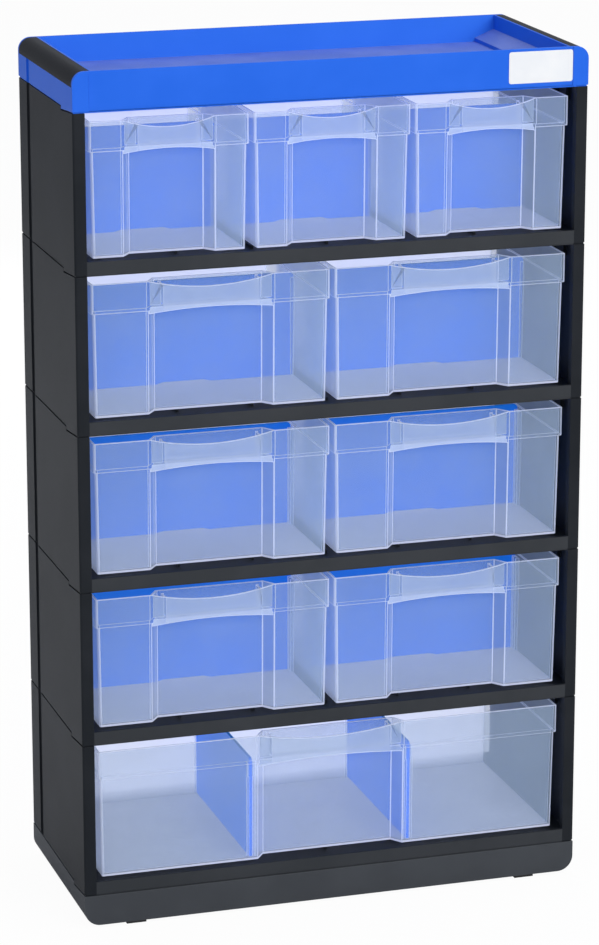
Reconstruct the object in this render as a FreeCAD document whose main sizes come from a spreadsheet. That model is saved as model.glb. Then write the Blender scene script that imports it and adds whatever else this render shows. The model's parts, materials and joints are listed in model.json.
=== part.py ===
import FreeCAD, Part
import math
import os
import Sketcher
from types import SimpleNamespace

# A parts bin cabinet: five stacked modules on a plinth, a tray on top, ten pull-out bins with dividers.
# Millimetres, +Z up, origin on the floor under the middle of the cabinet, fronts towards -Y.

# Driving dimensions
sizes = {
    "cabinet_width": 320.0,
    "cabinet_depth": 135.0,
    "overrun": 1.0,             # how far a cut runs past the face it opens
    # foot pads
    "pad_height": 1.5,
    "pad_size": 12.5,
    "pad_from_side": 26.5,
    "pad_from_front": 0.8,
    # plinth
    "plinth_height": 21.0,      # floor to the top of the plinth
    "plinth_corner": 10.0,
    "plinth_wall": 2.5,
    "plinth_foot_width": 60.0,  # bottom skin left at each side
    "plinth_foot_depth": 22.0,
    "plinth_foot_rise": 2.0,
    # module frames
    "module_height": 97.0,
    "outer_corner": 1.5,
    "seam_height": 1.0,
    "seam_depth": 0.7,
    "wedge_length": 28.0,       # the side wall's lower edge dips this far back from the front
    "wedge_drop": 2.4,
    "wedge_thickness": 1.2,
    "wedge_gap": 0.2,
    "side_wall": 2.5,
    "post_width": 7.4,
    "post_depth": 5.0,
    "rear_post_depth": 4.0,
    "rail_height": 9.0,
    "rail_thickness": 3.0,
    "floor_drop": 2.0,          # the floor lies this far below the rail's top edge
    "floor_thickness": 2.5,
    "lip_height": 15.0,
    "lip_thickness": 3.0,
    "runner_pitch": 47.0,
    "runner_width": 1.5,
    "runner_from_front": 16.0,  # out of sight behind the recess in a bin's front
    "wall_rib_thickness": 1.5,
    "groove_from_front": 107.0,
    "groove_width": 7.0,
    "groove_depth": 1.2,
    "tongue_length": 12.0,
    "tongue_thickness": 2.0,
    "tongue_height": 4.0,
    "tongue_root": 12.0,
    "tongue_clearance": 0.3,
    # tray
    "tray_height": 24.5,
    "tray_corner": 7.5,
    "fascia_thickness": 2.6,
    "fascia_end": 9.9,          # width of the raised end of the fascia
    "fascia_recess": 0.6,
    "tray_back": 2.0,
    "tray_skin": 2.5,
    "trim_width": 11.0,
    "trim_height": 9.5,
    "trim_gap": 0.2,
    "trim_key_width": 2.0,
    "trim_key_depth": 3.0,
    "pan_wall": 1.2,
    "pan_floor": 8.0,           # height of the pan's floor above the tray's lower edge
    "pan_step": 2.5,
    "slope_width": 12.5,
    "slope_rise": 5.0,
    # label
    "label_width": 40.8,
    "label_height": 19.2,
    "label_thickness": 0.3,
    "label_corner": 1.5,
    "label_from_end": 0.2,
    "label_drop": 1.6,
    # bins
    "bin_side_margin": 10.75,
    "bin_gap": 3.1,
    "bin_setback": 5.0,
    "bin_rear_clearance": 0.3,
    "bin_floor_clearance": 0.2,
    "bin_height": 81.7,
    "rim_height": 18.0,
    "rim_step": 1.2,
    "rim_ledge": 1.5,           # thickness of the step under the rim
    "bin_draft": 0.9,
    "bin_wall": 1.5,
    "bin_floor": 1.5,
    "bin_corner": 1.2,
    "recess_narrow": 56.0,
    "recess_medium": 77.5,
    "recess_wide": 94.5,
    "recess_depth": 8.4,
    "recess_slant": 5.3,
    "handle_height": 20.0,
    "handle_dip": 5.0,
    "handle_arch": 2.3,
    "handle_thickness": 1.5,
    "gusset_inset": 8.7,
    "gusset_thickness": 1.2,
    "gusset_drop": 0.3,
    "shelf_rise": 4.0,
    "shelf_thickness": 1.2,
    "nib_from_back": 22.0,
    "nib_thickness": 1.5,
    "nib_width": 6.0,
    "nib_offset": 12.0,
    "nib_drop": 1.5,
    # dividers and the ribs that hold them
    "divider_thickness": 2.0,
    "divider_height": 65.0,
    "divider_lift": 0.25,       # above the bin's floor
    "divider_corner": 2.5,
    "divider_end_gap": 0.4,
    "divider_notch_width": 26.0,
    "divider_notch_height": 1.2,
    "slot_clearance": 0.3,
    "slot_rib": 1.0,
    "slot_rib_reach": 2.0,
    "slot_from_front": 65.0,
    "slot_pitch": 6.0,
    "lengthwise_offset": 4.25,  # from the recess's mouth to a lengthwise divider's middle
}

# Shares of the sizes that they follow
wall_rib_shares = (0.3, 0.55, 0.8)
tongue_shares = (0.18, 0.68)
slant_wall_share = 0.55

# Which bins stand in each row, from the bottom row up, and the divider slot in use there
row_bins = (("wide",), ("left", "right"), ("left", "right"), ("left", "right"), ("left", "middle", "right"))
row_slots = (0, 1, 1, 0, 0)


class Length:
    """A number and the sheet formula that gives it."""

    def __init__(self, value, formula):
        self.value = float(value)
        self.formula = formula

    def __add__(self, other):
        other = as_length(other)
        return Length(self.value + other.value, "(%s + %s)" % (self.formula, other.formula))

    def __sub__(self, other):
        other = as_length(other)
        return Length(self.value - other.value, "(%s - %s)" % (self.formula, other.formula))

    def __mul__(self, other):
        other = as_length(other)
        return Length(self.value * other.value, "(%s * %s)" % (self.formula, other.formula))

    def __truediv__(self, other):
        other = as_length(other)
        return Length(self.value / other.value, "(%s / %s)" % (self.formula, other.formula))

    def __neg__(self):
        return Length(-self.value, "(0 - %s)" % self.formula)


def as_length(number):
    return number if isinstance(number, Length) else Length(number, repr(number))


zero = Length(0, "0")
doc = FreeCAD.newDocument("parts_bin_cabinet")
sheet = doc.addObject("Spreadsheet::Sheet", "Sheet")
for row, (name, value) in enumerate(sizes.items(), start=1):
    sheet.set("A%d" % row, name)
    sheet.set("B%d" % row, str(value))
    sheet.setAlias("B%d" % row, name)
doc.recompute()
dim = SimpleNamespace(**{name: Length(value, "Sheet." + name) for name, value in sizes.items()})

# Places that several pieces share
half_width = dim.cabinet_width / 2
half_depth = dim.cabinet_depth / 2
over = dim.overrun
floor_top = dim.rail_height - dim.floor_drop
runner_front = dim.runner_from_front - half_depth
rail_back = dim.rail_thickness - half_depth
lip_front = half_depth - dim.lip_thickness
groove_front = dim.groove_from_front - half_depth
wedge_nose = dim.outer_corner - half_depth
wedge_back = dim.wedge_length - half_depth
tray_base = dim.plinth_height + dim.module_height * len(row_bins)
trim_seat = dim.tray_height - dim.trim_height
bin_base = dim.plinth_height + dim.rail_height + dim.bin_floor_clearance
bin_front = dim.bin_setback - half_depth
bin_depth = dim.cabinet_depth - dim.bin_setback - dim.lip_thickness - dim.bin_rear_clearance
bins_width = dim.cabinet_width - dim.bin_side_margin * 2
rim_base = dim.bin_height - dim.rim_height
divider_base = dim.bin_floor + dim.divider_lift
divider_top = divider_base + dim.divider_height
pieces = []


def set_bound(feature, name, length):
    # a plain property gets its value at once, and every property gets the formula
    if not name.startswith("."):
        setattr(feature, name, length.value)
    feature.setExpression(name, length.formula)


def new_body(label, x, y, z, twin=None):
    # a body at its place in the cabinet, which repeats the shape of its twin if it has one
    body = doc.addObject("PartDesign::Body", label)
    body.Label = label
    if twin is not None:
        body.BaseFeature = twin
    for axis, place in zip("xyz", (x, y, z)):
        set_bound(body, ".Placement.Base." + axis, place)
    pieces.append(body)
    return body


def arc_between(start, end, radius, outward):
    # the shorter arc between two corners of an outline that runs counter-clockwise
    chord = end - start
    rise = radius - math.sqrt(radius * radius - chord.Length * chord.Length / 4)
    side = FreeCAD.Vector(chord.y, -chord.x, 0).normalize()
    middle = (start + end) / 2 + side * (rise if outward else -rise)
    return Part.ArcOfCircle(start, middle, end)


def outline(body, name, role, offset, loops):
    # loops of corners, counter-clockwise; a corner with a radius starts an arc to the next corner
    sketch = body.newObject("Sketcher::SketchObject", name)
    plane = [feature for feature in body.Origin.OriginFeatures if feature.Role == role][0]
    sketch.AttachmentSupport = (plane, [""])
    sketch.MapMode = "FlatFace"
    set_bound(sketch, ".AttachmentOffset.Base.z", offset)
    constraints = []
    formulas = []
    for corners in loops:
        first = sketch.GeometryCount
        places = [FreeCAD.Vector(corner[0].value, corner[1].value, 0) for corner in corners]
        ends = []
        for corner, start, end in zip(corners, places, places[1:] + places[:1]):
            curved = len(corner) > 2
            curve = arc_between(start, end, corner[2].value, corner[3]) if curved else Part.LineSegment(start, end)
            sketch.addGeometry(curve, False)
            ends.append((2, 1) if curved and not corner[3] else (1, 2))
        for index, corner in enumerate(corners):
            edge = first + index
            following = (index + 1) % len(corners)
            constraints.append(Sketcher.Constraint("Coincident", edge, ends[index][1], first + following,
                                                   ends[following][0]))
            for kind, place in zip(("DistanceX", "DistanceY"), corner[:2]):
                formulas.append((len(constraints), place.formula))
                constraints.append(Sketcher.Constraint(kind, -1, 1, edge, ends[index][0], place.value))
            if len(corner) > 2:
                formulas.append((len(constraints), corner[2].formula))
                constraints.append(Sketcher.Constraint("Radius", edge, corner[2].value))
    sketch.addConstraint(constraints)
    for number, formula in formulas:
        sketch.setExpression("Constraints[%d]" % number, formula)
    return sketch


def prism(body, name, role, start, length, *loops, cut=False):
    # outlines pushed along +X, +Y or +Z from start, added to the body or cut from it
    along_y = role == "XZ_Plane"
    offset = -start if along_y else start + length if cut else start
    feature = body.newObject("PartDesign::Pocket" if cut else "PartDesign::Pad", name)
    feature.Profile = outline(body, name + "_outline", role, offset, loops)
    feature.Reversed = along_y and not cut
    set_bound(feature, "Length", length)
    body.Tip = feature
    return feature


def loft(body, name, low, low_corners, high, high_corners, cut=False):
    feature = body.newObject("PartDesign::SubtractiveLoft" if cut else "PartDesign::AdditiveLoft", name)
    feature.Profile = outline(body, name + "_low", "XY_Plane", low, [low_corners])
    feature.Sections = [outline(body, name + "_high", "XY_Plane", high, [high_corners])]
    feature.Ruled = True
    body.Tip = feature
    return feature


def rectangle(x0, y0, x1, y1):
    return [(x0, y0), (x1, y0), (x1, y1), (x0, y1)]


def rounded_rectangle(x0, y0, x1, y1, radius):
    return [(x0 + radius, y0), (x1 - radius, y0, radius, True), (x1, y0 + radius), (x1, y1 - radius, radius, True),
            (x1 - radius, y1), (x0 + radius, y1, radius, True), (x0, y1 - radius), (x0, y0 + radius, radius, True)]


def both_sides(inner, outer, y0, y1):
    # one rectangle on the left and its mirror image on the right
    return rectangle(-outer, y0, -inner, y1), rectangle(inner, y0, outer, y1)


def open_seam(body):
    # a fine groove round the lower edge, and at each side a wedge under it that reaches into the piece below
    side = half_width - dim.seam_depth
    front = dim.seam_depth - half_depth
    back = half_depth - dim.seam_depth
    edge = half_width + over
    end = half_depth + over
    prism(body, "seam", "XY_Plane", -over, dim.seam_height + over, rectangle(-edge, -end, edge, end),
          rectangle(-side, front, side, back), cut=True)
    heel = wedge_back - dim.wedge_gap
    shape = [(wedge_nose, dim.seam_height), (heel, dim.seam_height - dim.wedge_drop), (heel, dim.seam_height)]
    prism(body, "wedge_left", "YZ_Plane", -half_width, dim.wedge_thickness, shape)
    prism(body, "wedge_right", "YZ_Plane", half_width - dim.wedge_thickness, dim.wedge_thickness, shape)


def seat_wedges(body, top):
    # pockets for the wedges of the piece above, deeper than the wedges so that the seam shows below them
    depth = dim.wedge_thickness + dim.wedge_gap
    shape = [(wedge_nose, top), (wedge_back, top - dim.wedge_drop), (wedge_back, top + over), (wedge_nose, top + over)]
    prism(body, "seat_left", "YZ_Plane", -half_width - over, depth + over, shape, cut=True)
    prism(body, "seat_right", "YZ_Plane", half_width - depth, depth + over, shape, cut=True)


def tongue_places(inner, outer):
    # the plan of the four stacking tongues, two on each side
    loops = []
    for share in tongue_shares:
        front = dim.cabinet_depth * share - half_depth
        loops.extend(both_sides(inner, outer, front, front + dim.tongue_length))
    return loops


def foot_pads():
    # four square rubber pads under the plinth
    pads = doc.addObject("Part::Compound", "foot_pads")
    pads.Label = "foot_pads"
    links = []
    x = half_width - dim.pad_from_side - dim.pad_size
    y = half_depth - dim.pad_from_front - dim.pad_size
    for side, across in (("left", -x - dim.pad_size), ("right", x)):
        for end, along in (("front", -y - dim.pad_size), ("back", y)):
            pad = doc.addObject("Part::Box", "pad_%s_%s" % (end, side))
            set_bound(pad, "Length", dim.pad_size)
            set_bound(pad, "Width", dim.pad_size)
            set_bound(pad, "Height", dim.pad_height)
            set_bound(pad, ".Placement.Base.x", across)
            set_bound(pad, ".Placement.Base.y", along)
            links.append(pad)
    pads.Links = links
    pieces.append(pads)


def base_plinth():
    # a hollow moulding, rounded along its lower side edges, raised between its ends and open below
    body = new_body("base_plinth", zero, zero, zero)
    low = dim.pad_height
    top = dim.plinth_height
    radius = dim.plinth_corner
    wall = dim.plinth_wall
    prism(body, "skin", "XZ_Plane", -half_depth, dim.cabinet_depth, [
        (radius - half_width, low), (half_width - radius, low, radius, True), (half_width, low + radius),
        (half_width, top), (-half_width, top), (-half_width, low + radius, radius, True)])
    inner = radius - wall
    edge = half_width - wall
    prism(body, "hollow", "XZ_Plane", wall - half_depth, dim.cabinet_depth - wall * 2, [
        (inner - edge, low + wall), (edge - inner, low + wall, inner, True), (edge, low + radius),
        (edge, top - wall), (-edge, top - wall), (-edge, low + radius, inner, True)], cut=True)
    window = half_width - dim.plinth_foot_width
    ends = half_depth - wall * 2
    prism(body, "window", "XY_Plane", low - over, wall + over * 2, rectangle(-window, -ends, window, ends), cut=True)
    raised = half_depth - dim.plinth_foot_depth
    prism(body, "arch", "XY_Plane", low - over, dim.plinth_foot_rise + over,
          rectangle(-half_width - over, -raised, half_width + over, raised), cut=True)
    seat_wedges(body, top)
    outer = half_width - dim.side_wall - dim.tongue_clearance
    prism(body, "tongues", "XY_Plane", top, dim.tongue_height, *tongue_places(outer - dim.tongue_thickness, outer))


def module_frame(label):
    # floor, side walls with posts, front rail, rear lip, runners and stacking tongues
    body = new_body(label, zero, zero, dim.plinth_height)
    top = dim.module_height
    prism(body, "outside", "XY_Plane", zero, top, rounded_rectangle(
        -half_width, -half_depth, half_width, half_depth, dim.outer_corner))
    open_seam(body)
    opening = half_width - dim.post_width
    inside = half_width - dim.side_wall
    post_back = dim.post_depth - half_depth
    rear_post = half_depth - dim.rear_post_depth
    prism(body, "bay", "XZ_Plane", -half_depth - over, dim.cabinet_depth + over * 2,
          rectangle(-opening, dim.rail_height, opening, top + over), cut=True)
    prism(body, "wells", "XY_Plane", floor_top, top + over - floor_top, [
        (-opening, rail_back), (opening, rail_back), (opening, post_back), (inside, post_back), (inside, rear_post),
        (opening, rear_post), (opening, lip_front), (-opening, lip_front), (-opening, rear_post), (-inside, rear_post),
        (-inside, post_back), (-opening, post_back)], cut=True)
    prism(body, "underside", "XY_Plane", -over, floor_top - dim.floor_thickness + over,
          rectangle(-inside, rail_back, inside, lip_front), cut=True)
    prism(body, "rear_lip", "XY_Plane", floor_top, dim.lip_height - floor_top,
          rectangle(-opening, lip_front, opening, half_depth))
    ribs = []
    for share in wall_rib_shares:
        front = dim.cabinet_depth * share - half_depth
        ribs.extend(both_sides(opening, inside + dim.side_wall / 2, front, front + dim.wall_rib_thickness))
    prism(body, "wall_ribs", "XY_Plane", floor_top, top - floor_top, *ribs)
    half = dim.runner_width / 2
    steps = int(opening.value / dim.runner_pitch.value)
    middles = [dim.runner_pitch * step for step in range(-steps, steps + 1)]
    prism(body, "runners", "XY_Plane", floor_top, dim.floor_drop,
          *[rectangle(middle - half, runner_front, middle + half, lip_front) for middle in middles])
    seat_wedges(body, top)
    prism(body, "grooves", "XY_Plane", -over, top + over * 2, *both_sides(
        half_width - dim.groove_depth, half_width + over, groove_front, groove_front + dim.groove_width), cut=True)
    outer = inside - dim.tongue_clearance
    inner = outer - dim.tongue_thickness
    prism(body, "tongue_roots", "XY_Plane", top - dim.tongue_root, dim.tongue_root,
          *tongue_places(inner, inside + dim.side_wall / 2))
    prism(body, "tongues", "XY_Plane", top, dim.tongue_height, *tongue_places(inner, outer))
    return body


def top_tray():
    # fascia, side strips, a shallow pan with sloped sides, hollow below, and seats for the trims
    body = new_body("top_tray", zero, zero, tray_base)
    top = dim.tray_height
    radius = dim.tray_corner
    prism(body, "outside", "XZ_Plane", -half_depth, dim.cabinet_depth, [
        (-half_width, zero), (half_width, zero), (half_width, top - radius, radius, True), (half_width - radius, top),
        (radius - half_width, top, radius, True), (-half_width, top - radius)])
    front = dim.fascia_thickness - half_depth
    length = dim.cabinet_depth - dim.fascia_thickness - dim.tray_back
    inside = half_width - dim.trim_width - dim.pan_wall
    foot = inside - dim.slope_width
    slope_low = dim.pan_floor + dim.pan_step
    slope_top = slope_low + dim.slope_rise
    prism(body, "pan", "XZ_Plane", front, length, [
        (-foot, dim.pan_floor), (foot, dim.pan_floor), (foot, slope_low), (inside, slope_top), (inside, top + over),
        (-inside, top + over), (-inside, slope_top), (-foot, slope_low)], cut=True)
    hollow = half_width - dim.side_wall
    prism(body, "underside", "XY_Plane", -over, dim.pan_floor - dim.tray_skin + over,
          rectangle(-hollow, front, hollow, front + length), cut=True)
    seat = half_width - dim.trim_width
    key = half_width - dim.trim_width / 2
    key_half = dim.trim_key_width / 2 + dim.trim_gap
    key_low = trim_seat - dim.trim_key_depth - dim.trim_gap
    prism(body, "trim_seats", "XZ_Plane", front, length,
          *both_sides(seat, half_width + over, trim_seat, top + over), cut=True)
    prism(body, "trim_key_slots", "XZ_Plane", front, length,
          *both_sides(key - key_half, key + key_half, key_low, trim_seat + over), cut=True)
    prism(body, "grooves", "XY_Plane", -over, trim_seat + over * 2, *both_sides(
        half_width - dim.groove_depth, half_width + over, groove_front, groove_front + dim.groove_width), cut=True)
    panel = half_width - dim.fascia_end
    prism(body, "fascia_panel", "XZ_Plane", -half_depth - over, dim.fascia_recess + over,
          rectangle(-panel, -over, panel, top + over), cut=True)
    open_seam(body)


def top_rail(label, sign):
    # a black trim with a quarter round on its outer edge and a key that drops into the tray
    body = new_body(label, zero, zero, tray_base)
    top = dim.tray_height
    radius = dim.tray_corner
    inner = half_width - dim.trim_width
    if sign > 0:
        corners = [(inner, trim_seat), (half_width, trim_seat), (half_width, top - radius, radius, True),
                   (half_width - radius, top), (inner, top)]
    else:
        corners = [(-half_width, trim_seat), (-inner, trim_seat), (-inner, top), (radius - half_width, top, radius, True),
                   (-half_width, top - radius)]
    start = dim.fascia_thickness - half_depth + dim.trim_gap
    length = dim.cabinet_depth - dim.fascia_thickness - dim.tray_back - dim.trim_gap * 2
    prism(body, "rail", "XZ_Plane", start, length, corners)
    middle = (half_width - dim.trim_width / 2) * sign
    half = dim.trim_key_width / 2
    prism(body, "key", "XZ_Plane", start, length,
          rectangle(middle - half, trim_seat - dim.trim_key_depth, middle + half, trim_seat))


def blank_label():
    # a thin blank plate on the fascia's panel
    body = new_body("blank_label", zero, zero, tray_base)
    right = half_width - dim.fascia_end - dim.label_from_end
    top = dim.tray_height - dim.label_drop
    prism(body, "plate", "XZ_Plane", dim.fascia_recess - half_depth - dim.label_thickness, dim.label_thickness,
          rounded_rectangle(right - dim.label_width, top - dim.label_height, right, top, dim.label_corner))


def bin_plan(half, front, back, mouth, recess):
    # the plan of a bin with the recess in its front; mouth is half the width of the recess at the front
    foot = mouth - dim.recess_slant
    return [(-half, front), (-mouth, front), (-foot, recess), (foot, recess), (mouth, front), (half, front),
            (half, back), (-half, back)]


def round_bin_corners(body, half):
    # a fillet on the upright edges at the four outer corners
    doc.recompute()
    shape = body.Tip.Shape
    names = []
    for number, edge in enumerate(shape.Edges, start=1):
        box = edge.BoundBox
        reach = dim.rim_step.value + dim.bin_draft.value
        outer = max(abs(box.XMin), abs(box.XMax)) > half.value - reach - over.value
        if outer and box.ZLength > dim.rim_height.value / 2 and box.XLength < reach and box.YLength < reach:
            names.append("Edge%d" % number)
    whole = body.Tip
    fillet = body.newObject("PartDesign::Fillet", "corners")
    fillet.Base = (whole, names)
    set_bound(fillet, "Radius", dim.bin_corner)
    body.Tip = fillet


def storage_bin(label, half, mouth, x, z):
    # a drafted shell with a stepped rim, a recess in the front and a handle plate across the recess
    body = new_body(label, x, bin_front, z)
    step = dim.rim_step
    draft = dim.bin_draft
    wall = dim.bin_wall
    recess = dim.recess_depth
    low_face = step + draft
    loft(body, "shell", zero, bin_plan(half - low_face, low_face, bin_depth - low_face, mouth, recess + draft),
         rim_base, bin_plan(half - step, step, bin_depth - step, mouth, recess))
    prism(body, "rim", "XY_Plane", rim_base, dim.rim_height, bin_plan(half, zero, bin_depth, mouth, recess))
    round_bin_corners(body, half)
    ledge = rim_base + dim.rim_ledge
    inner_mouth = mouth + wall * slant_wall_share
    low_face = step + draft + wall
    high_face = step + wall
    loft(body, "cavity", dim.bin_floor,
         bin_plan(half - low_face, low_face, bin_depth - low_face, inner_mouth, recess + draft + wall),
         ledge, bin_plan(half - high_face, high_face, bin_depth - high_face, inner_mouth, recess + wall), cut=True)
    prism(body, "rim_cavity", "XY_Plane", ledge, dim.bin_height - ledge + over,
          bin_plan(half - wall, wall, bin_depth - wall, inner_mouth, recess + wall), cut=True)
    handle(body, mouth)
    stop = bin_depth - dim.nib_from_back
    nib_inner = dim.nib_offset - dim.nib_width / 2
    prism(body, "stop_nibs", "XY_Plane", -dim.nib_drop, dim.nib_drop + dim.bin_floor / 2,
          *both_sides(nib_inner, nib_inner + dim.nib_width, stop - dim.nib_thickness, stop))
    return body


def handle(body, mouth):
    # a plate with a dipped top and an arched lower edge, and a shelf and two gussets behind it
    top = dim.bin_height
    low = top - dim.handle_height
    dip = dim.handle_dip
    arch = dim.handle_arch
    dip_radius = (mouth * mouth + dip * dip) / (dip * 2)
    arch_radius = (mouth * mouth + arch * arch) / (arch * 2)
    prism(body, "handle_plate", "XZ_Plane", zero, dim.handle_thickness, [
        (-mouth, low, arch_radius, False), (mouth, low), (mouth, top, dip_radius, False), (-mouth, top)])
    behind = dim.handle_thickness
    bite = dim.bin_wall / 2
    recess = dim.recess_depth
    near = mouth - dim.recess_slant * behind / recess + bite
    far = mouth - dim.recess_slant + bite
    shelf = low + dim.shelf_rise
    prism(body, "shelf", "XY_Plane", shelf, dim.shelf_thickness, [
        (-near, behind), (near, behind), (far, recess + bite), (-far, recess + bite)])
    place = mouth - dim.gusset_inset
    half = dim.gusset_thickness / 2
    gusset_top = top - dip + dip * place * place / (mouth * mouth) - dim.gusset_drop
    prism(body, "gussets", "XY_Plane", shelf, gusset_top - shelf,
          *both_sides(place - half, place + half, behind, recess + bite))


def crosswise_slots(body, half):
    # pairs of ribs on both side walls, two slots one behind the other
    face = half - dim.rim_step - dim.bin_draft - dim.bin_wall
    gap = dim.divider_thickness / 2 + dim.slot_clearance
    ribs = []
    for slot in range(2):
        middle = dim.slot_from_front + dim.slot_pitch * slot
        for front in (middle - gap - dim.slot_rib, middle + gap):
            ribs.extend(both_sides(face - dim.slot_rib_reach, face + dim.bin_wall / 2, front, front + dim.slot_rib))
    prism(body, "slots", "XY_Plane", dim.bin_floor / 2, rim_base - dim.bin_floor / 2, *ribs)


def lengthwise_slots(body, place):
    # pairs of ribs on the front and back walls, one slot beside each end of the recess
    face = dim.rim_step + dim.bin_draft + dim.bin_wall
    near = face - dim.bin_wall / 2
    far = face + dim.slot_rib_reach
    gap = dim.divider_thickness / 2 + dim.slot_clearance
    ribs = []
    for inner in (place - gap - dim.slot_rib, place + gap):
        ribs.extend(both_sides(inner, inner + dim.slot_rib, near, far))
        ribs.extend(both_sides(inner, inner + dim.slot_rib, bin_depth - far, bin_depth - near))
    prism(body, "slots", "XY_Plane", dim.bin_floor / 2, rim_base - dim.bin_floor / 2, *ribs)


def crosswise_divider(label, half, x, y, z):
    # a plate that follows the bin's drafted sides, notched in the middle of its lower edge
    body = new_body(label, x, y, z)
    wide = half - dim.rim_step - dim.bin_wall - dim.divider_end_gap
    narrow = wide - dim.bin_draft
    notch = dim.divider_notch_width / 2
    notch_end = notch + dim.divider_notch_height * 4
    notch_top = divider_base + dim.divider_notch_height
    radius = dim.divider_corner
    prism(body, "plate", "XZ_Plane", zero, dim.divider_thickness, [
        (-narrow, divider_base), (-notch_end, divider_base), (-notch, notch_top), (notch, notch_top),
        (notch_end, divider_base), (narrow, divider_base), (wide, divider_top - radius, radius, True),
        (wide - radius, divider_top), (radius - wide, divider_top, radius, True), (-wide, divider_top - radius)])
    return body


def lengthwise_divider(label, middle):
    # a plate from the front wall to the back wall of the wide bin
    body = new_body(label, middle - dim.divider_thickness / 2, bin_front, bin_base)
    high_face = dim.rim_step + dim.bin_wall + dim.divider_end_gap
    low_face = high_face + dim.bin_draft
    radius = dim.divider_corner
    shoulder = divider_top - radius
    prism(body, "plate", "YZ_Plane", zero, dim.divider_thickness, [
        (low_face, divider_base), (bin_depth - low_face, divider_base), (bin_depth - high_face, shoulder, radius, True),
        (bin_depth - high_face - radius, divider_top), (high_face + radius, divider_top, radius, True),
        (high_face, shoulder)])


def fill_row(row, places, twins):
    # the bins of one row and their dividers; a shape that was made before is repeated
    count = len(places)
    width = (bins_width - dim.bin_gap * (count - 1)) / count
    mouth = {1: dim.recess_wide, 2: dim.recess_medium, 3: dim.recess_narrow}[count] / 2
    z = bin_base + dim.module_height * row
    y = bin_front + dim.slot_from_front + dim.slot_pitch * row_slots[row] - dim.divider_thickness / 2
    for index, place in enumerate(places):
        x = (width + dim.bin_gap) * (index - (count - 1) / 2)
        label = "bin_%d_%s" % (row + 1, place)
        divider_label = "divider_%d_%s" % (row + 1, place)
        if count in twins:
            new_body(label, x, bin_front, z, twins[count][0])
            new_body(divider_label, x, y, z, twins[count][1])
            continue
        body = storage_bin(label, width / 2, mouth, x, z)
        if count > 1:
            crosswise_slots(body, width / 2)
            twins[count] = (body, crosswise_divider(divider_label, width / 2, x, y, z))
            continue
        middle = mouth + dim.lengthwise_offset
        lengthwise_slots(body, middle)
        lengthwise_divider("divider_1_left", -middle)
        lengthwise_divider("divider_1_right", middle)


foot_pads()
base_plinth()
frame = module_frame("module_frame_1")
for row in range(1, len(row_bins)):
    new_body("module_frame_%d" % (row + 1), zero, zero, dim.plinth_height + dim.module_height * row, frame)
top_tray()
top_rail("top_rail_left", -1)
top_rail("top_rail_right", 1)
blank_label()
twins = {}
for row, places in enumerate(row_bins):
    fill_row(row, places, twins)
doc.recompute()

# Every object has to be sound before anything is written
for feature in doc.Objects:
    if "Invalid" in feature.State or "Error" in feature.State:
        raise RuntimeError("%s is in state %s" % (feature.Label, feature.State))
for piece in pieces:
    if piece.Shape.isNull() or not piece.Shape.isValid():
        raise RuntimeError("%s has no valid shape" % piece.Label)

os.makedirs("parts", exist_ok=True)
for piece in pieces:
    piece.Shape.exportStep("parts/%s.step" % piece.Label)
    print("%-18s %10.1f mm3, %d solid(s)" % (piece.Label, piece.Shape.Volume, len(piece.Shape.Solids)))
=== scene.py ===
import json
import math
import bmesh
import bpy
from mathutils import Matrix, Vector
from mathutils.bvhtree import BVHTree

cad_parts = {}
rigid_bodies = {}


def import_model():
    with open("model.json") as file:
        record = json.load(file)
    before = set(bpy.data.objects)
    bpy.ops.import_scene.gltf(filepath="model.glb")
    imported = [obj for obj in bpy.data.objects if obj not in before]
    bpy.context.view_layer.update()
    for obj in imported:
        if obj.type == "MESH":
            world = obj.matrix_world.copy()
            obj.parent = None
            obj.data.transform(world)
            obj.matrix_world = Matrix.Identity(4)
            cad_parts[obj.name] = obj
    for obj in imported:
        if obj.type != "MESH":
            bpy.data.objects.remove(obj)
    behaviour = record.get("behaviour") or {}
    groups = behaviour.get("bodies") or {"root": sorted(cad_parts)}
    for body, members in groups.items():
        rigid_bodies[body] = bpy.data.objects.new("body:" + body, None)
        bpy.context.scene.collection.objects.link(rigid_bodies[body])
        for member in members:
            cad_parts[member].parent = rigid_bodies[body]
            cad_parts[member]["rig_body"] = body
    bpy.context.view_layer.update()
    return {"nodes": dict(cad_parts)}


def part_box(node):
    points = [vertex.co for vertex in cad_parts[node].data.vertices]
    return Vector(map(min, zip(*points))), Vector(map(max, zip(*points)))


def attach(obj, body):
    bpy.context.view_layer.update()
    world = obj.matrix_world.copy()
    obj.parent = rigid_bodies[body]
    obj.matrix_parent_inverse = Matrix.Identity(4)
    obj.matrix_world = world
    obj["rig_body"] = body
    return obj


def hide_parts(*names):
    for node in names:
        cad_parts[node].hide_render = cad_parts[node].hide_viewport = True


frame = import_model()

# Parts bin cabinet: the CAD solids are joined up, softened along their edges and given their plastics.
# Lengths are in metres, +Z up, the bins open towards -Y.

scene = bpy.context.scene
mm = 0.001


# shader maths

class Link:
    # an output socket that takes part in plain sums
    def __init__(self, tree, socket):
        self.tree = tree
        self.socket = socket

    def maths(self, operation, *values):
        return self.tree.node("Math", {"operation": operation}, {i: v for i, v in enumerate(values)})

    def __add__(self, other):
        return self.maths("ADD", self, other)

    def __radd__(self, other):
        return self.maths("ADD", other, self)

    def __sub__(self, other):
        return self.maths("SUBTRACT", self, other)

    def __rsub__(self, other):
        return self.maths("SUBTRACT", other, self)

    def __mul__(self, other):
        return self.maths("MULTIPLY", self, other)

    def ramp(self, low, high):
        # 0 below low, 1 above high, smooth in between
        return self.tree.node("MapRange", {"interpolation_type": "SMOOTHSTEP", "clamp": True},
                              {"Value": self, "From Min": low, "From Max": high})


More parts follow.
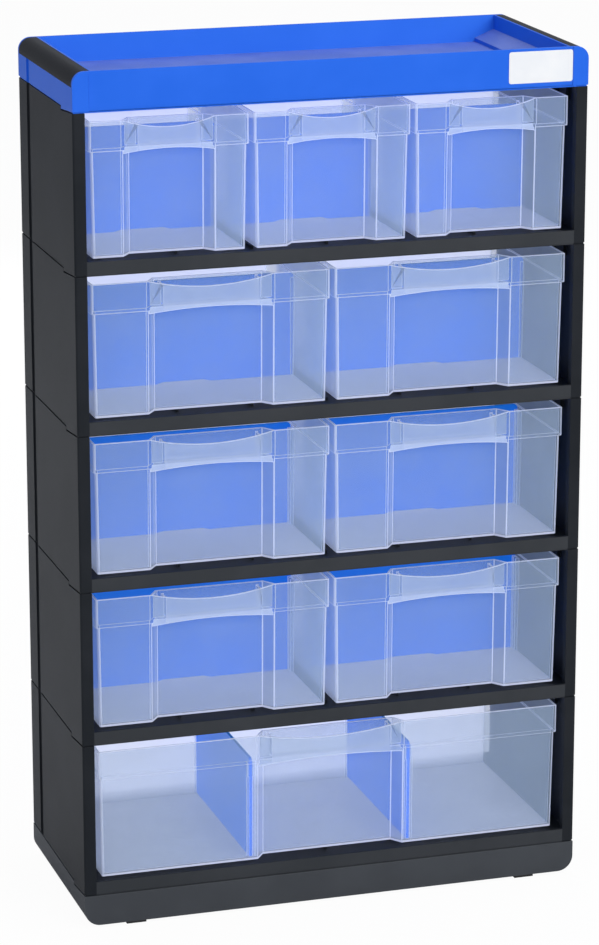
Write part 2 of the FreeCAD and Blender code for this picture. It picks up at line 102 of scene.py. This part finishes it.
class Finish:
    # the node tree of a material or of the world, built with one call for each node
    def __init__(self, owner):
        self.owner = owner
        self.owner.use_nodes = True
        self.tree = self.owner.node_tree
        self.tree.nodes.clear()

    def node(self, kind, settings=None, inputs=None, out=0):
        node = self.tree.nodes.new("ShaderNode" + kind)
        for name, value in (settings or {}).items():
            setattr(node, name, value)
        for name, value in (inputs or {}).items():
            socket = node.inputs[name]
            if isinstance(value, Link):
                self.tree.links.new(value.socket, socket)
            elif isinstance(value, tuple) and len(value) == 3 and socket.type == "RGBA":
                socket.default_value = (*value, 1.0)
            else:
                socket.default_value = value
        return Link(self, node.outputs[out]) if node.outputs else None

    def blendColour(self, amount, first, second):
        mix = {"data_type": "RGBA", "blend_type": "MIX"}
        return self.node("Mix", mix, {0: amount, 6: first, 7: second}, out=2)

    def noise(self, size, detail, roughness):
        place = self.node("TexCoord", out="Object")
        return self.node("TexNoise", {}, {"Vector": place, "Scale": 1 / size, "Detail": detail,
                                          "Roughness": roughness})

    def attribute(self, name):
        return self.node("Attribute", {"attribute_name": name}, out="Fac")

    def finish(self, shader, output="OutputMaterial"):
        self.node(output, {}, {"Surface": shader})
        return self.owner


# plastics

blackPlastic = {"colour": (0.010, 0.012, 0.015), "toneAndHighlight": (0.017, 0.019, 0.023), "roughness": 0.48,
                "grain": 0.45 * mm, "depth": 0.05 * mm, "cloud": 45 * mm, "shine": 0.09}
plinthPlastic = dict(blackPlastic, colour=(0.043, 0.047, 0.053), toneAndHighlight=(0.054, 0.059, 0.066), shine=0.14)
railPlastic = dict(blackPlastic, colour=(0.030, 0.033, 0.037), toneAndHighlight=(0.040, 0.043, 0.048))
trimPlastic = dict(blackPlastic, colour=(0.006, 0.007, 0.009), toneAndHighlight=(0.009, 0.010, 0.012), roughness=0.30,
                   shine=0.02)
bluePlastic = {"colour": (0.012, 0.112, 0.63), "toneAndHighlight": (0.020, 0.132, 0.69), "roughness": 0.40,
               "grain": 0.40 * mm, "depth": 0.02 * mm, "cloud": 60 * mm, "shine": 0.12}
# the back wall's blue is painted lighter, painted light that makes up for the shade at the back of the pan
paintedLighterWall = dict(bluePlastic, colour=(0.028, 0.165, 0.74), toneAndHighlight=(0.036, 0.185, 0.78))
panPlastic = {"colour": (0.085, 0.155, 0.56), "toneAndHighlight": (0.135, 0.210, 0.62), "roughness": 0.62,
              "grain": 1.1 * mm, "depth": 0.30 * mm, "cloud": 30 * mm, "shine": 0.5}
# the divider's emission is painted light: the blue plate glows, standing for light that reaches it inside
# the bins
dividerPlastic = {"colour": (0.010, 0.140, 0.88), "toneAndHighlight": (0.014, 0.160, 0.92), "roughness": 0.34,
                  "grain": 1.2 * mm, "depth": 0.003 * mm, "cloud": 40 * mm, "shine": 0.3,
                  "paintedGlow": (0.002, 0.070, 0.25)}
padRubber = {"colour": (0.018, 0.018, 0.018), "toneAndHighlight": (0.030, 0.030, 0.030), "roughness": 0.85,
             "grain": 0.5 * mm, "depth": 0.05 * mm, "cloud": 10 * mm, "shine": 0.3}
labelFilm = {"colour": (0.70, 0.71, 0.72), "toneAndHighlight": (0.76, 0.76, 0.75), "roughness": 0.33,
             "grain": 0.3 * mm, "depth": 0.01 * mm, "cloud": 20 * mm, "shine": 0.5}

# how much the cloud and the painted edge highlight show in the colour, and the grain and the edges in the
# roughness
variationAndHighlight = {"cloud": 0.6, "edge": 0.4, "grain": 0.16, "polish": 0.08}


def mouldedPlastic(name, look):
    # the grain shows as bump and roughness, the cloud as slow changes of colour, the bevelled edges as a
    # painted highlight in a lighter colour
    made = Finish(bpy.data.materials.new(name))
    grain = made.noise(look["grain"], 3.0, 0.6)
    cloud = made.noise(look["cloud"], 3.0, 0.55).ramp(0.35, 0.65)
    edge = made.attribute("edge")
    # the lighter colour on the bevelled edges is a painted highlight; the cloud is the plastic's own uneven
    # tone
    colour = made.blendColour(cloud * variationAndHighlight["cloud"] + edge * variationAndHighlight["edge"], look["colour"], look["toneAndHighlight"])
    rough = look["roughness"] + (grain - 0.5) * variationAndHighlight["grain"] - edge * variationAndHighlight["polish"]
    bump = made.node("Bump", {}, {"Height": grain, "Strength": 1.0, "Distance": look["depth"]})
    # the emission, where a look sets one, is painted light, a glow though the plastic is no lamp
    shader = made.node("BsdfPrincipled", {}, {"Base Color": colour, "Roughness": rough, "Normal": bump,
                                              "Specular IOR Level": look["shine"],
                                              "Emission Color": look.get("paintedGlow", (0.0, 0.0, 0.0)),
                                              "Emission Strength": 1.0})
    return made.finish(shader)


# the emission colours are painted light, a glow in the plastic; the whiter colour is a painted highlight on
# the edges, and on milky faces partly their own milkier look and partly painted light
frosted = {"colour": (0.54, 0.65, 0.76), "milkAndHighlightColour": (0.86, 0.89, 0.98), "clear": (0.96, 0.97, 1.0),
           "haze": 0.24, "cloudHaze": 0.03, "edgeHaze": 0.74, "milkHaze": 0.66, "roughness": 0.38,
           "through": 0.45, "cloud": 25 * mm, "paintedGlow": (0.015, 0.045, 0.075), "edgePaintedGlow": (0.18, 0.215, 0.32),
           "footPaintedGlow": (0.34, 0.37, 0.50), "milkPaintedGlow": (0.265, 0.275, 0.34),
           "grain": 0.5 * mm, "depth": 0.002 * mm, "shine": 0.3}


def frostedPlastic(name, look):
    # haze over what is behind, thicker along the edges and in the floor;
    # there, and at the foot of the front, a painted glow and a whiter colour stand for the light that runs
    # in the plastic and comes out
    made = Finish(bpy.data.materials.new(name))
    cloud = made.noise(look["cloud"], 2.0, 0.5).ramp(0.3, 0.7)
    edge = made.attribute("edge")
    milkAndGlow = made.attribute("milkAndGlow")
    # whiter colour: a painted highlight on the edges, partly painted light on the milky faces
    colour = made.blendColour(made.node("Math", {"operation": "MAXIMUM"}, {0: edge, 1: milkAndGlow}),
                              look["colour"], look["milkAndHighlightColour"])
    # painted glow, brighter on milky faces, on the edges and at the foot of the front
    paintedGlow = made.blendColour(milkAndGlow, look["paintedGlow"], look["milkPaintedGlow"])
    paintedGlow = made.blendColour(edge, paintedGlow, look["edgePaintedGlow"])
    paintedGlow = made.blendColour(made.attribute("foot"), paintedGlow, look["footPaintedGlow"])
    haze = look["haze"] + cloud * look["cloudHaze"] + milkAndGlow * (look["milkHaze"] - look["haze"])
    haze = haze + edge * (1 - milkAndGlow) * (look["edgeHaze"] - look["haze"])
    grain = made.noise(look["grain"], 2.0, 0.5)
    bump = made.node("Bump", {}, {"Height": grain, "Strength": 1.0, "Distance": look["depth"]})
    surface = made.node("BsdfPrincipled", {}, {"Base Color": colour, "Roughness": look["roughness"],
                                               "Normal": bump, "Specular IOR Level": look["shine"],
                                               "Emission Color": paintedGlow, "Emission Strength": 1.0})
    through = made.node("BsdfTranslucent", {}, {"Color": colour})
    body = made.node("MixShader", {}, {0: look["through"], 1: surface, 2: through})
    clear = made.node("BsdfTransparent", {}, {"Color": look["clear"]})
    return made.finish(made.node("MixShader", {}, {0: haze, 1: clear, 2: body}))


finishes = {
    "frame_plastic": mouldedPlastic("black moulded plastic", blackPlastic),
    "plinth": mouldedPlastic("plinth plastic", plinthPlastic),
    "rail": mouldedPlastic("rail plastic", railPlastic),
    "trim": mouldedPlastic("trim plastic", trimPlastic),
    "tray_plastic": mouldedPlastic("blue moulded plastic", bluePlastic),
    "pan": mouldedPlastic("blue grained pan", panPlastic),
    "wall": mouldedPlastic("blue back wall painted lighter", paintedLighterWall),
    "divider_plastic": mouldedPlastic("blue divider plastic", dividerPlastic),
    "bin_plastic": frostedPlastic("frosted bin plastic", frosted),
    "label_film": mouldedPlastic("blank label film", labelFilm),
    "pad_rubber": mouldedPlastic("pad rubber", padRubber),
}
print("plastics made")


# pieces

merging = {"near": 0.002 * mm, "flat": 0.6, "rim": 0.05 * mm, "slivers": 0.1 * mm, "stray": 0.45 * mm}


def joinedCopy(node):
    # the CAD mesh is loose triangles, so its copy is merged and its flat faces made whole
    bm = bmesh.new()
    bm.from_mesh(frame["nodes"][node].data)
    bmesh.ops.remove_doubles(bm, verts=bm.verts, dist=merging["near"])
    bmesh.ops.dissolve_limit(bm, angle_limit=math.radians(merging["flat"]), verts=bm.verts, edges=bm.edges)
    return bm


def soften(bm, width, segments=2, sharpest=28):
    # rounds the sharp edges and marks the new faces in the edge attribute
    bm.faces.layers.float.new("edge")
    sharp = math.radians(sharpest)
    chosen = [edge for edge in bm.edges if len(edge.link_faces) == 2 and edge.calc_face_angle(0.0) > sharp]
    made = bmesh.ops.bevel(bm, geom=chosen, offset=width, offset_type="OFFSET", segments=segments,
                           profile=0.5, affect="EDGES", clamp_overlap=False, material=-1, loop_slide=True)
    layer = bm.faces.layers.float["edge"]
    for face in made["faces"]:
        face[layer] = 1.0


def levelCorners(bm, level):
    # the fillet under the rim ends in slivers, which are drawn up to the rim and merged
    for vert in bm.verts:
        if abs(vert.co.z - level) < merging["rim"]:
            vert.co.z = level
    bmesh.ops.remove_doubles(bm, verts=bm.verts, dist=merging["slivers"])


# half the width of the recess in a bin's front, for bins up to each width
recessHalves = ((110 * mm, 28 * mm), (160 * mm, 38.75 * mm), (400 * mm, 47.25 * mm))

# where a bin's parts are, from its box, and how milky each is
binMarks = {"rim": 18 * mm, "strip": 1.7 * mm, "plate deep": 1.7 * mm, "plate high": 21 * mm,
            "plate end": 8.7 * mm, "front": 12 * mm, "foot": 2.9 * mm, "floor": 4 * mm, "back": 5 * mm,
            "side milk": 0.3, "plate milk": 0.27, "end milk": 0.65, "strip edge": 0.8, "slant edge": 0.2}


def cutFaces(bm, chosen, place, normal):
    # a flat cut through some faces, which only adds edges
    faces = [face for face in bm.faces if chosen(face)]
    parts = {part for face in faces for part in (*face.verts, *face.edges)}
    bmesh.ops.bisect_plane(bm, geom=[*parts, *faces], plane_co=place, plane_no=normal)


def markBin(bm, low, high):
    # narrow strips count as edges, which get a painted highlight and glow, the floor and the back wall as
    # milky, which adds haze and a painted glow, the handle plate as a little milky, and more so at its ends,
    # where the pocket behind it is closed; the foot of the front gets a painted glow for the lit floor seen
    # through it
    centre = (low.x + high.x) / 2
    mouth = next(half for width, half in recessHalves if high.x - low.x < width)

    def onPlate(face):
        middle = face.calc_center_median()
        flat = face.normal.y < -0.95 and middle.y < low.y + binMarks["plate deep"]
        return flat and middle.z > high.z - binMarks["plate high"] and abs(middle.x - centre) < mouth

    def onFront(face):
        return face.normal.y < -0.3 and face.calc_center_median().y < low.y + binMarks["front"]

    for place in (centre - mouth + binMarks["plate end"], centre + mouth - binMarks["plate end"]):
        cutFaces(bm, onPlate, (place, 0, 0), (1, 0, 0))
    cutFaces(bm, onFront, (0, 0, low.z + binMarks["foot"]), (0, 0, 1))
    milkAndGlow = bm.faces.layers.float.new("milkAndGlow")
    edge, foot = bm.faces.layers.float["edge"], bm.faces.layers.float.new("foot")
    for face in bm.faces:
        middle = face.calc_center_median()
        if 2 * face.calc_area() < binMarks["strip"] * face.calc_perimeter():
            face[edge] = max(face[edge], binMarks["strip edge"])
        if 0.3 < -face.normal.y < 0.9 and abs(face.normal.x) > 0.5 and middle.y < low.y + binMarks["front"]:
            face[edge] = max(face[edge], binMarks["slant edge"])
        # the foot of the front: a painted highlight and painted glow, for the lit floor seen through it
        if onFront(face) and middle.z < low.z + binMarks["foot"]:
            face[edge] = face[foot] = 1.0
        onFloor = abs(face.normal.z) > 0.9 and middle.z < low.z + binMarks["floor"]
        onBack = abs(face.normal.y) > 0.9 and middle.y > high.y - binMarks["back"]
        onHandle = abs(face.normal.y) > 0.8 and middle.y < low.y + binMarks["plate deep"] and face[edge] == 0
        if onFloor or onBack:
            face[milkAndGlow] = 1.0
        elif abs(face.normal.x) > 0.9:
            face[milkAndGlow] = binMarks["side milk"]
        elif onHandle and middle.z > high.z - binMarks["plate high"] and abs(middle.x - centre) < mouth:
            atEnd = face.normal.y < 0 and abs(middle.x - centre) > mouth - binMarks["plate end"]
            face[milkAndGlow] = binMarks["end milk"] if atEnd else binMarks["plate milk"]


def keepInside(bm, solid, low, high):
    # corners where many bevels meet can shoot out, so they go back to the solid's surface and into its box
    for vert in bm.verts:
        place, normal, index, distance = solid.find_nearest(vert.co)
        if distance > merging["stray"]:
            vert.co = place
        for axis in range(3):
            vert.co[axis] = min(max(vert.co[axis], low[axis]), high[axis])


def addPiece(bm, name, slotName, node, materials=None):
    # long outlines are cut up here, because the mesh's own triangles can cross a hollow in them
    long = [face for face in bm.faces if len(face.verts) > 4]
    bmesh.ops.triangulate(bm, faces=long, quad_method="BEAUTY", ngon_method="BEAUTY")
    mesh = bpy.data.meshes.new(name)
    bm.to_mesh(mesh)
    bm.free()
    mesh.shade_smooth()
    mesh.set_sharp_from_angle(angle=math.radians(40))
    piece = bpy.data.objects.new(name, mesh)
    scene.collection.objects.link(piece)
    for material in materials or [finishes[slotName]]:
        mesh.materials.append(material)
    weighted = piece.modifiers.new("faceNormals", "WEIGHTED_NORMAL")
    weighted.keep_sharp = True
    body = frame["nodes"][node]["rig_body"]
    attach(piece, body)
    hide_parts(node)


edges = {"frame": 0.22 * mm, "tray": 0.16 * mm, "plinth": 0.3 * mm, "trim": 0.3 * mm, "divider": 0.3 * mm,
         "bin": 0.34 * mm, "pad": 0.15 * mm, "label": 0.08 * mm}

frameRail = {"below top": 101 * mm, "height": 8.75 * mm, "from side": 7.4 * mm, "deep": 1 * mm}


def markRail(bm, low, high):
    # the front of the rail is lighter than the posts beside it
    base = high.z - frameRail["below top"]
    top = base + frameRail["height"]
    side = high.x - frameRail["from side"]

    def onFront(face):
        return face.normal.y < -0.5 and face.calc_center_median().y < low.y + frameRail["deep"]

    cutFaces(bm, onFront, (0, 0, top), (0, 0, 1))
    for place in (-side, side):
        cutFaces(bm, onFront, (place, 0, 0), (1, 0, 0))
    for face in bm.faces:
        middle = face.calc_center_median()
        if onFront(face) and base < middle.z < top and abs(middle.x) < side:
            face.material_index = 1


for row in range(1, 6):
    node = "module_frame_%d" % row
    bm = joinedCopy(node)
    soften(bm, edges["frame"])
    markRail(bm, *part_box(node))
    addPiece(bm, "frame_%d" % row, "frame_plastic", node, [finishes["frame_plastic"], finishes["rail"]])
print("frames made")

bm = joinedCopy("base_plinth")
soften(bm, edges["plinth"])
addPiece(bm, "plinth", "frame_plastic", "base_plinth", [finishes["plinth"]])
for side in ("left", "right"):
    bm = joinedCopy("top_rail_" + side)
    soften(bm, edges["trim"])
    addPiece(bm, "trim_" + side, "frame_plastic", "top_rail_" + side, [finishes["trim"]])
bm = joinedCopy("foot_pads")
soften(bm, edges["pad"])
addPiece(bm, "pads", "pad_rubber", "foot_pads")
print("plinth, trims and pads made")

# the pan's floor and slopes lie this far inside the tray's box
panPlace = {"from side": 12 * mm, "from back": 2 * mm, "below top": 4 * mm, "deepest": 17.5 * mm}
bm = joinedCopy("top_tray")
soften(bm, edges["tray"])
low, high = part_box("top_tray")
for face in bm.faces:
    middle = face.calc_center_median()
    inPan = abs(middle.x) < high.x - panPlace["from side"] and abs(middle.y) < high.y - panPlace["from back"]
    if inPan and face.normal.z > 0.3 and panPlace["below top"] < high.z - middle.z < panPlace["deepest"]:
        face.material_index = 1
    # the back wall's inner face gets the blue painted lighter, painted light against the shade at the back
    # of the pan
    if inPan and face.normal.y < -0.7 and middle.y > 0:
        face.material_index = 2
addPiece(bm, "tray", "tray_plastic", "top_tray",
         [finishes["tray_plastic"], finishes["pan"], finishes["wall"]])

bm = joinedCopy("blank_label")
soften(bm, edges["label"], 1)
addPiece(bm, "label", "label_film", "blank_label")
print("tray and label made")

for node in frame["nodes"]:
    if node.startswith("divider"):
        bm = joinedCopy(node)
        soften(bm, edges["divider"])
        addPiece(bm, "plate_" + node.removeprefix("divider_"), "divider_plastic", node)
    if node.startswith("bin"):
        # the bins of a row are alike, so the right one is made from the left one's solid
        twin = node.replace("_right", "_left")
        bm = joinedCopy(twin)
        low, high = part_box(node)
        bmesh.ops.translate(bm, verts=bm.verts, vec=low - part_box(twin)[0])
        solid = BVHTree.FromBMesh(bm)
        levelCorners(bm, high.z - binMarks["rim"])
        soften(bm, edges["bin"])
        keepInside(bm, solid, low, high)
        markBin(bm, low, high)
        addPiece(bm, "drawer_" + node.removeprefix("bin_"), "bin_plastic", node)
print("bins and dividers made")


# camera, floor and light

camera = {"focal": 3793, "longSide": 945, "sensor": 36.0, "yaw": 17.382, "pitch": 15.526,
          "place": (-0.6825, -2.1763, 0.8935)}
lens = bpy.data.cameras.new("camera")
lens.sensor_width = camera["sensor"]
lens.lens = camera["focal"] * camera["sensor"] / camera["longSide"]
lens.clip_start, lens.clip_end = 0.1, 50
eye = bpy.data.objects.new("camera", lens)
scene.collection.objects.link(eye)
yaw, pitch = math.radians(camera["yaw"]), math.radians(camera["pitch"])
forward = Vector((math.sin(yaw) * math.cos(pitch), math.cos(yaw) * math.cos(pitch), -math.sin(pitch)))
eye.location = camera["place"]
eye.rotation_euler = forward.to_track_quat("-Z", "Y").to_euler()
scene.camera = eye


def pathRay(made):
    # 1 where the camera looks at the surface, straight or through clear plastic
    seen = made.node("LightPath", out="Is Camera Ray")
    through = made.node("LightPath", out="Is Transmission Ray")
    return seen.maths("MAXIMUM", seen, through)


floor = {"size": 8.0, "colour": (0.80, 0.80, 0.80), "white": 0.96, "drop": 0.2 * mm}
made = Finish(bpy.data.materials.new("pale floor"))
matt = made.node("BsdfDiffuse", {}, {"Color": floor["colour"]})
white = made.node("Emission", {}, {"Color": (1.0, 1.0, 1.0), "Strength": 1.0})
whiteShare = pathRay(made) * floor["white"]
floorFinish = made.finish(made.node("MixShader", {}, {0: whiteShare, 1: matt, 2: white}))
bm = bmesh.new()
bmesh.ops.create_grid(bm, x_segments=1, y_segments=1, size=floor["size"])
mesh = bpy.data.meshes.new("floor")
bm.to_mesh(mesh)
bm.free()
ground = bpy.data.objects.new("floor", mesh)
scene.collection.objects.link(ground)
ground.location.z = -floor["drop"]
mesh.materials.append(floorFinish)

scene.world = bpy.data.worlds.new("studio")
made = Finish(scene.world)
fill = {"colour": (0.86, 0.90, 1.0), "strength": 0.55}
around = made.node("Background", {}, {"Color": fill["colour"], "Strength": fill["strength"]})
backdrop = made.node("Background", {}, {"Color": (1.0, 1.0, 1.0), "Strength": 1.0})
made.finish(made.node("MixShader", {}, {0: pathRay(made), 1: around, 2: backdrop}), "OutputWorld")

lamps = [
    {"name": "keyLamp", "place": (0.9, -2.4, 1.6), "size": 1.5, "power": 46},
    {"name": "leftLamp", "place": (-1.6, -1.9, 0.9), "size": 1.2, "power": 8},
    {"name": "topLamp", "place": (0.2, 0.1, 2.2), "size": 1.2, "power": 10},
    {"name": "backLamp", "place": (0.2, 1.7, 0.8), "size": 1.2, "power": 11, "inReflections": False},
]
target = Vector((0, 0, 0.27))
for lamp in lamps:
    light = bpy.data.lights.new(lamp["name"], "AREA")
    light.shape = "SQUARE"
    light.size = lamp["size"]
    light.energy = lamp["power"]
    holder = bpy.data.objects.new(lamp["name"], light)
    scene.collection.objects.link(holder)
    holder.location = lamp["place"]
    holder.visible_glossy = lamp.get("inReflections", True)
    holder.rotation_euler = (target - holder.location).to_track_quat("-Z", "Y").to_euler()

scene.view_settings.view_transform = "Standard"
scene.cycles.transparent_max_bounces = 32
print("camera, floor and light made")
